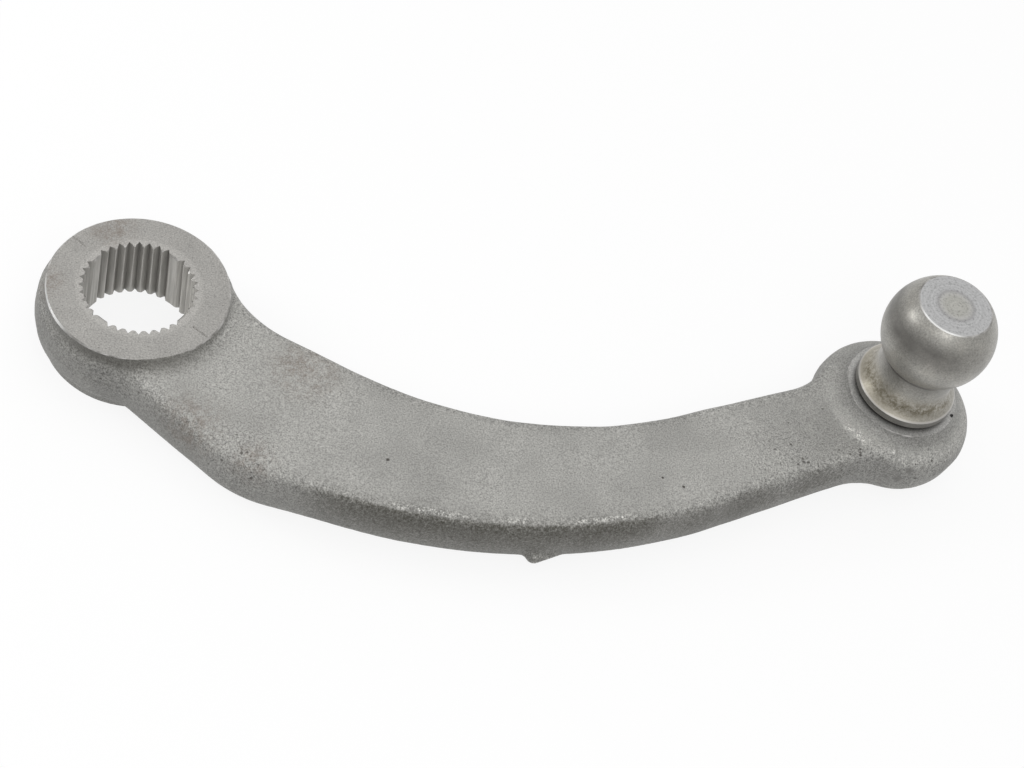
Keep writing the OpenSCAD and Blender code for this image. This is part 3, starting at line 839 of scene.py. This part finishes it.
def forging_blank(material):
    """The CAD forging with stock on its bosses, its edges blended and its skin marked."""
    deep = HUB_FACE_Z + STOCK
    hub_stock = turned("hub_stock", [(HUB_FACE_R, -deep), (HUB_FACE_R, deep)], HUB_CENTRE)
    eye_stock = turned("eye_stock", [(SPOT_R, -EYE_BOTTOM - STOCK), (SPOT_R, EYE_TOP + STOCK)], EYE_CENTRE)
    shape = bmesh.new()
    shape.from_mesh(frame["nodes"]["arm_forging"].data)
    for stock in (hub_stock, eye_stock):
        shape.from_mesh(stock.data)
        bpy.data.objects.remove(stock)
    bmesh.ops.remove_doubles(shape, verts=shape.verts, dist=SAME_POINT)
    arm = piece_from("forged_arm", [], [])
    shape.to_mesh(arm.data)
    shape.free()
    work(arm, "REMESH", mode="VOXEL", voxel_size=SKIN_CELL, use_smooth_shade=True)
    blend_skin(arm.data)
    mark_skin(arm.data)
    arm.data.materials.clear()
    arm.data.materials.append(material)
    return arm


def weld_slivers(mesh):
    """Joins the points that the cuts leave almost on top of each other."""
    shape = bmesh.new()
    shape.from_mesh(mesh)
    bmesh.ops.remove_doubles(shape, verts=shape.verts, dist=SLIVER)
    shape.to_mesh(mesh)
    shape.free()


def machine_arm(arm, faced, broached, burnished):
    """Faces the bosses, breaks their edges, broaches the hub, drills the eye and scribes the marks."""
    for name, centre, radius, low, high, lip, edge_break in (
        ("hub", HUB_CENTRE, HUB_FACE_R, -HUB_FACE_Z, HUB_FACE_Z, 0, HUB_EDGE_BREAK),
        ("eye", EYE_CENTRE, SPOT_R, -EYE_BOTTOM, EYE_TOP, SPOT_LIP, SPOT_EDGE_BREAK),
    ):
        wide = radius + FACER_REACH
        cut(arm, turned(name + "_facer", [(wide, high), (wide, high + FACER_REACH)], centre, faced))
        cut(arm, turned(name + "_under_facer", [(wide, low - FACER_REACH), (wide, low)], centre, faced))
        for face, up in ((high, 1), (low, -1)):
            if lip:
                outer = radius + LIP_FOOT_W
                foot = [(radius, -lip), (outer, -2 * lip), (outer, PAST), (radius, PAST)]
                section = [(r, face + up * z) for r, z in foot]
                cut(arm, turned_ring(name + "_lip_tool", section, centre, faced))
            bevel = [(-edge_break - PAST, PAST), (PAST, -edge_break - PAST), (PAST, PAST)]
            section = [(radius + r, face + up * z) for r, z in bevel]
            cut(arm, turned_ring(name + "_edge_breaker", section, centre, burnished))

    cut(arm, broach(broached))
    large_r = LAND_R + 2 * HUB_FACE_Z * TAPER
    spread = BORE_CHAMFER + PAST
    upper = [(LAND_R, HUB_FACE_Z - BORE_CHAMFER), (LAND_R + spread, HUB_FACE_Z + PAST)]
    lower = [(large_r + spread, -HUB_FACE_Z - PAST), (large_r, -HUB_FACE_Z + BORE_CHAMFER)]
    drill = [
        (BORE_R + COUNTERSINK + PAST, -EYE_BOTTOM - PAST),
        (BORE_R, -EYE_BOTTOM + COUNTERSINK),
        (BORE_R, EYE_TOP + PAST),
    ]
    cut(arm, turned("upper_chamfer", upper, HUB_CENTRE, burnished))
    cut(arm, turned("lower_chamfer", lower, HUB_CENTRE, burnished))
    cut(arm, turned("eye_drill", drill, EYE_CENTRE, faced))
    for direction, inner, outer in SCRIBES:
        cut(arm, scriber(direction, inner, outer, faced))
    weld_slivers(arm.data)
    map_skin(arm.data)
    arm.data.shade_smooth()
    arm.data.set_sharp_from_angle(angle=ARM_SHARP)


def arc_points(centre, radius, start, end, steps):
    """(radius, height) points on an arc; angles in radians from the outward direction."""
    turns = [start + (end - start) * i / steps for i in range(steps + 1)]
    return [(centre[0] + radius * math.cos(a), centre[1] + radius * math.sin(a)) for a in turns]


def turn_stud(material, flat_material, edge_material):
    """The stud on its lathe: riveted end, shank, collar, flare, neck, and the ball with its flat."""
    shank_r = BORE_R - SHANK_CLEARANCE
    ball_z = BALL_CENTRE.z
    flare_a = 2 * math.atan((COLLAR_R - COLLAR_CHAMFER - NECK_R) / FLARE_H)
    flare_r = FLARE_H / math.sin(flare_a)
    flare_centre = (NECK_R + flare_r, COLLAR_TOP + FLARE_H)
    ball_low = -math.acos(NECK_R / BALL_R)
    ball_high = math.asin((BALL_FLAT - FLAT_BREAK) / BALL_R)
    profile = [
        (shank_r + COUNTERSINK - RIVET_INSET, -EYE_BOTTOM + RIVET_INSET),
        (shank_r, -EYE_BOTTOM + COUNTERSINK),
        (shank_r, COLLAR_Z),
        (COLLAR_R, COLLAR_Z),
        (COLLAR_R, COLLAR_TOP - COLLAR_CHAMFER),
    ]
    profile += arc_points(flare_centre, flare_r, math.pi + flare_a, math.pi, FLARE_STEPS)
    profile += arc_points((0, ball_z), BALL_R, ball_low, ball_high, BALL_STEPS)
    profile.append((profile[-1][0] - 2 * FLAT_BREAK, ball_z + BALL_FLAT))
    stud = turned("turned_stud", profile, EYE_CENTRE, material)
    stud.data.materials.append(flat_material)
    stud.data.materials.append(edge_material)

    # The walls run from foot to top, so the last ring of them is the flat's broken edge; the caps follow
    faces = stud.data.polygons
    walls = len(faces) - 2
    faces[walls + 1].material_index = 1
    for i in range(walls - TURN_STEPS, walls):
        faces[i].material_index = 2
    stud.data.shade_smooth()
    stud.data.set_sharp_from_angle(angle=STUD_SHARP)
    return stud


burnished = burnished_steel()
arm = forging_blank(forged_steel())
machine_arm(arm, faced_steel(), broached_steel(), burnished)
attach(arm, "root")
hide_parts("arm_forging")

stud = turn_stud(turned_steel(), faced_ball_flat(), burnished)
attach(stud, "root")
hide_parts("ball_stud")

# The stage: a sheet of white paper, lit through from below, that bounces less light than it shows
FLOOR_HALF = 4
THROUGH_LIGHT = 0.85
floor = piece_from(
    "floor",
    [(x * FLOOR_HALF, y * FLOOR_HALF, FLOOR_Z) for x, y in ((-1, -1), (1, -1), (1, 1), (-1, 1))],
    [(0, 1, 2, 3)],
)
paper = new_material("white_paper")
tree = paper.node_tree
seen = 0.0
for kind in ("Is Camera Ray", "Is Glossy Ray", "Is Transmission Ray"):
    ray = add(tree, "ShaderNodeLightPath", out=kind)
    seen = add(tree, "ShaderNodeMath", {0: seen, 1: ray}, operation="MAXIMUM")
shown = coated(tree, linear("#a4a4a4"), [(seen, "#ffffff")])
lit = add(tree, "ShaderNodeBsdfDiffuse", {"Color": shown})
through = add(tree, "ShaderNodeEmission", {"Color": shown, "Strength": 1.0})
sheet = add(tree, "ShaderNodeMixShader", {0: THROUGH_LIGHT, 1: lit, 2: through})
add(tree, "ShaderNodeOutputMaterial", {"Surface": sheet})
floor.data.materials.append(paper)

# A soft sky, brightest overhead; its horizon is dimmest in front and brighter to the right and behind
SKY_HORIZON = 0.3
SKY_RIGHTWARD = 0.2
SKY_BACKWARD = 0.12
SKY_ZENITH = 0.72
SKY_RISE = (0.05, 0.6)
world = bpy.data.worlds.new("studio")
bpy.context.scene.world = world
world.use_nodes = True
sky = world.node_tree
sky.nodes.clear()
direction = add(sky, "ShaderNodeTexCoord", out="Generated")
height = add(sky, "ShaderNodeSeparateXYZ", {0: direction}, "Z")
tilt = (SKY_RIGHTWARD, SKY_BACKWARD, 0)
around = add(sky, "ShaderNodeVectorMath", {0: direction, 1: tilt}, "Value", operation="DOT_PRODUCT")
horizon = add(sky, "ShaderNodeMath", {0: around, 1: SKY_HORIZON}, operation="ADD")
rise = ranged(height, SKY_RISE[0], SKY_RISE[1], horizon, SKY_ZENITH)
strength = add(sky, "ShaderNodeMapRange", rise, interpolation_type="SMOOTHSTEP")
glow = add(sky, "ShaderNodeBackground", {"Color": linear("#ffffff"), "Strength": strength})
add(sky, "ShaderNodeOutputWorld", {"Surface": glow})

# Softboxes: name, place, width and depth in metres, watts
LIT_PLACE = Vector((0.1, 0, 0))
for name, place, wide, deep, watts in (
    ("overhead_softbox", (0.2, 0.35, 0.95), 0.8, 0.6, 1.2),
    ("left_softbox", (-0.5, 0.14, 0.3), 0.24, 0.18, 0.85),
    ("front_softbox", (0.1, -0.5, 0.6), 0.45, 0.25, 0.95),
):
    lamp_data = bpy.data.lights.new(name, "AREA")
    lamp_data.shape = "RECTANGLE"
    lamp_data.size = wide
    lamp_data.size_y = deep
    lamp_data.energy = watts
    lamp = bpy.data.objects.new(name, lamp_data)
    bpy.context.collection.objects.link(lamp)
    lamp.location = place
    lamp.rotation_euler = (LIT_PLACE - lamp.location).to_track_quat("-Z", "Y").to_euler()

# The camera stands where the photograph was taken from
CAMERA_PLACE = Vector((11.1, -308.2, 391.1)) * MM
CAMERA_AIM = Vector((98.8, -7.4, 0)) * MM
CAMERA_ROLL = math.radians(20.3)
FOCAL_PX = 1900
IMAGE_PX = 1024
SENSOR_W = 36
CLIP_START = 0.01
camera_data = bpy.data.cameras.new("camera")
camera_data.sensor_width = SENSOR_W
camera_data.lens = SENSOR_W * FOCAL_PX / IMAGE_PX
camera_data.clip_start = CLIP_START
camera = bpy.data.objects.new("camera", camera_data)
bpy.context.collection.objects.link(camera)
aim = (CAMERA_AIM - CAMERA_PLACE).to_track_quat("-Z", "Y").to_matrix().to_4x4()
camera.matrix_world = Matrix.Translation(CAMERA_PLACE) @ aim @ Matrix.Rotation(CAMERA_ROLL, 4, "Z")
bpy.context.scene.camera = camera
bpy.context.scene.view_settings.view_transform = "Standard"
